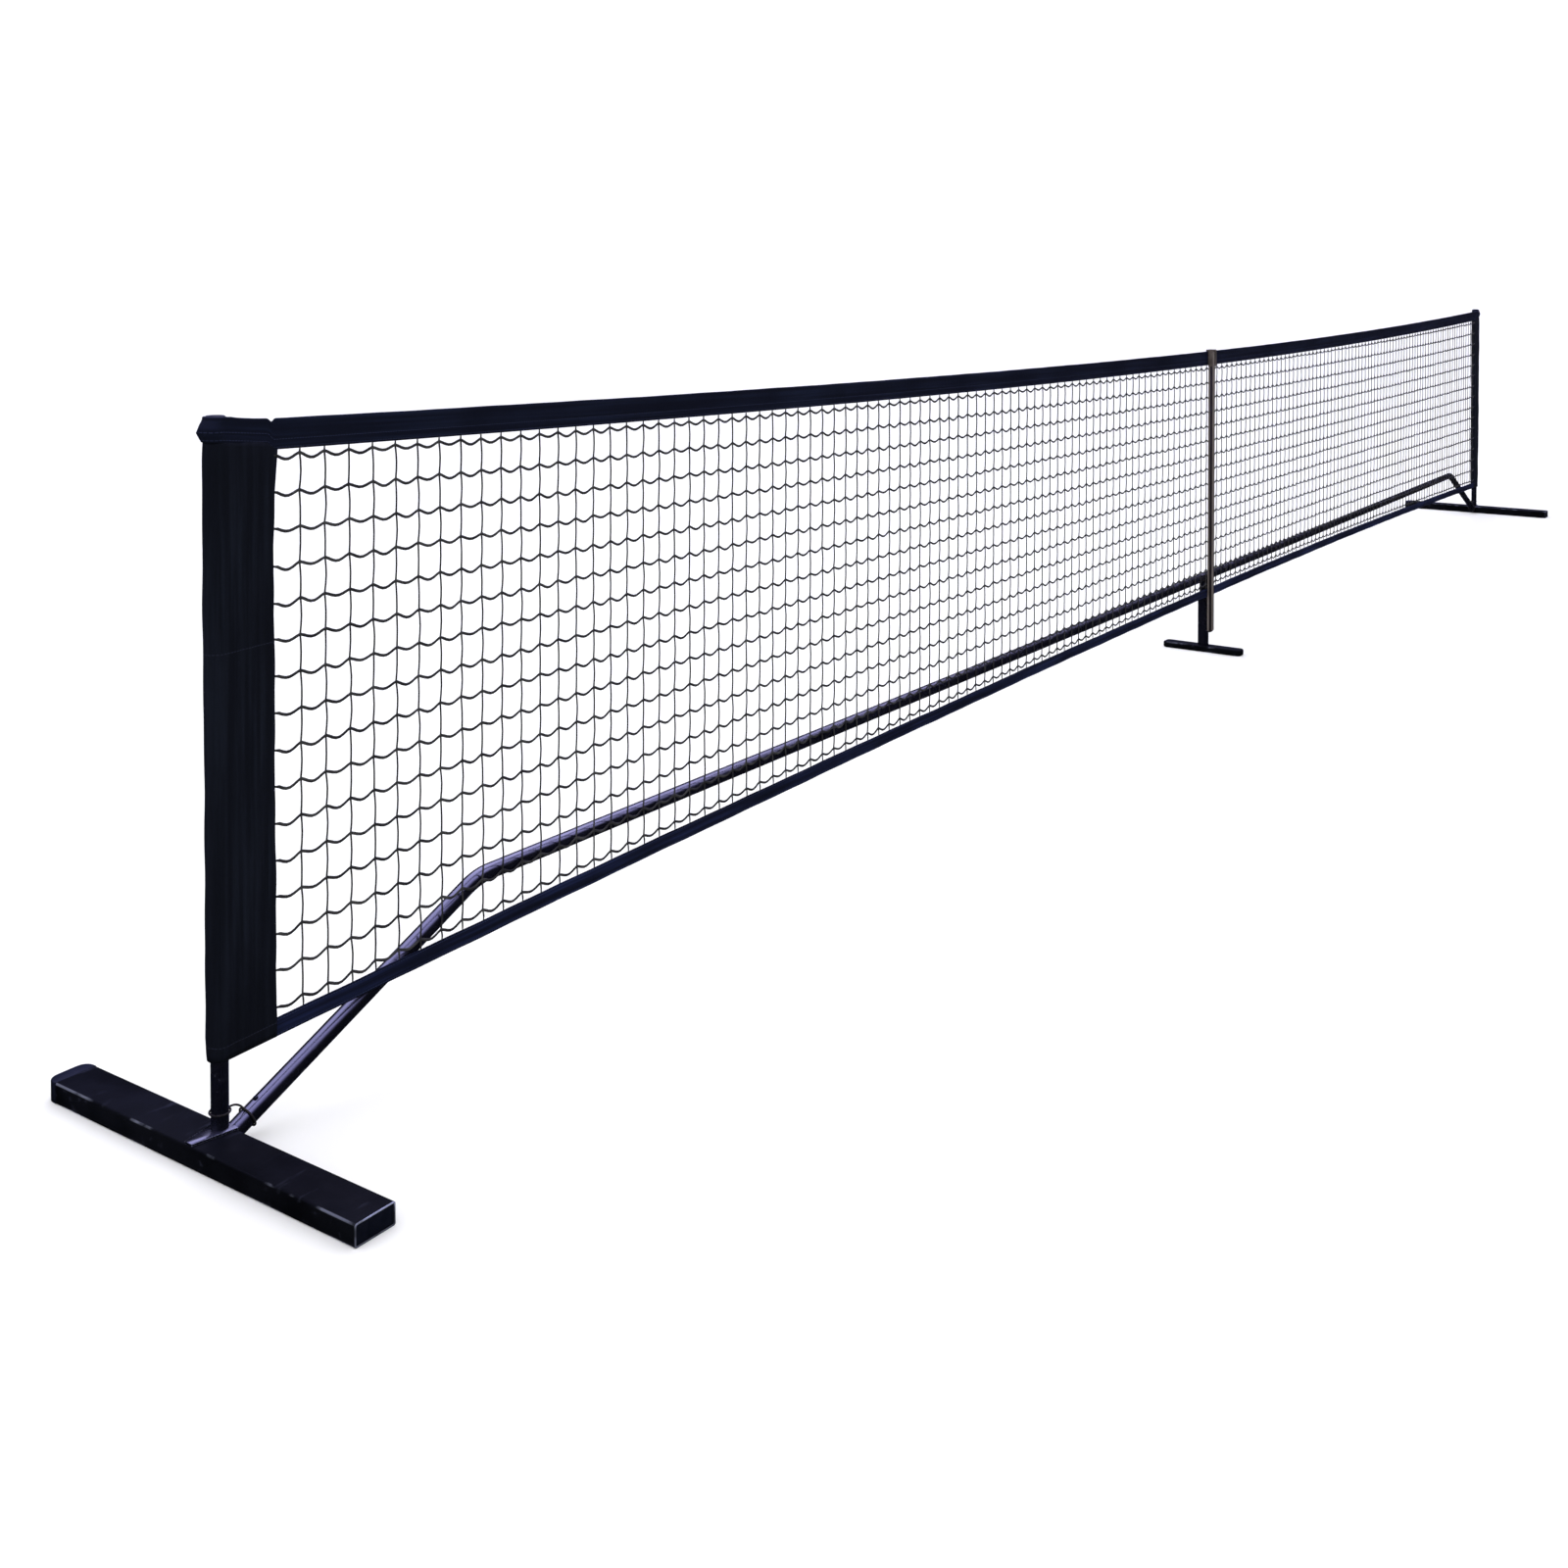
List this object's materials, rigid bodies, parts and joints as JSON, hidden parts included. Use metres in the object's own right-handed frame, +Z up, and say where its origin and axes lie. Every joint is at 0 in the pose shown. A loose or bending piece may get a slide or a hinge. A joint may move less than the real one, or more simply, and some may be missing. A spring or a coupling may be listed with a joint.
{
  "type": "portable pickleball net",
  "caption": "Free-standing portable sports net: end feet with uprights, plug-together tube frame, centre foot with flat bar, and a banded cord net.",
  "frame": {"origin": "on the ground under the middle of the net", "axes": "+X along the net, -Y is the front that the centre bar is on, +Z up"},
  "size_m": [6.794, 0.6, 0.915],
  "materials": {
    "powder_coat": "satin black powder coat",
    "bar_coat": "dark brown-grey coat",
    "black_plastic": "moulded",
    "grey_plastic": "moulded",
    "spring_steel": "bare",
    "elastic_cord": "woven elastic",
    "band_fabric": "folded tape",
    "sleeve_fabric": "folded cloth",
    "net_cord": "twisted cord"
  },
  "bodies": {
    "centre_foot": {"centre_foot": "powder_coat", "centre_stub": "powder_coat", "bar_bracket": "powder_coat"},
    "frame": {"left_foot_tube": "powder_coat", "left_foot_cap_front": "black_plastic", "left_foot_cap_back": "black_plastic", "left_base_plate": "powder_coat", "left_post_spigot": "powder_coat", "left_tether": "elastic_cord", "left_brace_socket": "powder_coat", "left_brace_spring": "spring_steel", "left_bent_tube": "powder_coat", "left_outer_spring": "spring_steel", "left_outer_rail": "powder_coat", "left_middle_spring": "spring_steel", "left_inner_rail": "powder_coat", "left_inner_spring": "spring_steel", "right_foot_tube": "powder_coat", "right_foot_cap_front": "black_plastic", "right_foot_cap_back": "black_plastic", "right_base_plate": "powder_coat", "right_post_spigot": "powder_coat", "right_tether": "elastic_cord", "right_brace_socket": "powder_coat", "right_brace_spring": "spring_steel", "right_bent_tube": "powder_coat", "right_outer_spring": "spring_steel", "right_outer_rail": "powder_coat", "right_middle_spring": "spring_steel", "right_inner_rail": "powder_coat", "right_inner_spring": "spring_steel", "tee_coupler": "powder_coat"},
    "left_upright": {"left_post_tube": "powder_coat", "left_post_cap": "black_plastic"},
    "right_upright": {"right_post_tube": "powder_coat", "right_post_cap": "black_plastic"},
    "net": {"netting": "net_cord", "top_band": "band_fabric", "bottom_band": "band_fabric", "left_sleeve": "sleeve_fabric", "right_sleeve": "sleeve_fabric"},
    "centre_bar": {"centre_bar": "bar_coat", "bar_hook": "grey_plastic"},
    "left_brace_button": {"left_brace_button": "black_plastic"},
    "left_outer_button": {"left_outer_button": "black_plastic"},
    "left_middle_button": {"left_middle_button": "black_plastic"},
    "left_inner_button": {"left_inner_button": "black_plastic"},
    "right_brace_button": {"right_brace_button": "black_plastic"},
    "right_outer_button": {"right_outer_button": "black_plastic"},
    "right_middle_button": {"right_middle_button": "black_plastic"},
    "right_inner_button": {"right_inner_button": "black_plastic"}
  },
  "joints": [
    {"name": "frame_lift", "type": "slide", "parent": "centre_foot", "child": "frame", "axis": [0, 0, 1], "range_m": [0, 0.055]},
    {"name": "left_upright_lift", "type": "slide", "parent": "frame", "child": "left_upright", "axis": [0, 0, 1], "range_m": [0, 0.07]},
    {"name": "right_upright_lift", "type": "slide", "parent": "frame", "child": "right_upright", "axis": [0, 0, 1], "range_m": [0, 0.07]},
    {"name": "net_lift", "type": "slide", "parent": "frame", "child": "net", "axis": [0, 0, 1], "range_m": [0, 0.81]},
    {"name": "centre_bar_lift", "type": "slide", "parent": "net", "child": "centre_bar", "axis": [0, 0, 1], "range_m": [0, 0.1]},
    {"name": "left_brace_press", "type": "slide", "parent": "frame", "child": "left_brace_button", "axis": [0.4159, 0, -0.9094], "range_m": [0, 0.0036], "stiffness_N_per_m": 900, "springref_m": -0.001, "deforming": ["left_brace_spring"]},
    {"name": "left_outer_press", "type": "slide", "parent": "frame", "child": "left_outer_button", "axis": [0, -1, 0], "range_m": [0, 0.0036], "stiffness_N_per_m": 900, "springref_m": -0.001, "deforming": ["left_outer_spring"]},
    {"name": "left_middle_press", "type": "slide", "parent": "frame", "child": "left_middle_button", "axis": [0, -1, 0], "range_m": [0, 0.0036], "stiffness_N_per_m": 900, "springref_m": -0.001, "deforming": ["left_middle_spring"]},
    {"name": "left_inner_press", "type": "slide", "parent": "frame", "child": "left_inner_button", "axis": [0, -1, 0], "range_m": [0, 0.0036], "stiffness_N_per_m": 900, "springref_m": -0.001, "deforming": ["left_inner_spring"]},
    {"name": "right_brace_press", "type": "slide", "parent": "frame", "child": "right_brace_button", "axis": [-0.4159, 0, -0.9094], "range_m": [0, 0.0036], "stiffness_N_per_m": 900, "springref_m": -0.001, "deforming": ["right_brace_spring"]},
    {"name": "right_outer_press", "type": "slide", "parent": "frame", "child": "right_outer_button", "axis": [0, -1, 0], "range_m": [0, 0.0036], "stiffness_N_per_m": 900, "springref_m": -0.001, "deforming": ["right_outer_spring"]},
    {"name": "right_middle_press", "type": "slide", "parent": "frame", "child": "right_middle_button", "axis": [0, -1, 0], "range_m": [0, 0.0036], "stiffness_N_per_m": 900, "springref_m": -0.001, "deforming": ["right_middle_spring"]},
    {"name": "right_inner_press", "type": "slide", "parent": "frame", "child": "right_inner_button", "axis": [0, -1, 0], "range_m": [0, 0.0036], "stiffness_N_per_m": 900, "springref_m": -0.001, "deforming": ["right_inner_spring"]}
  ]
}
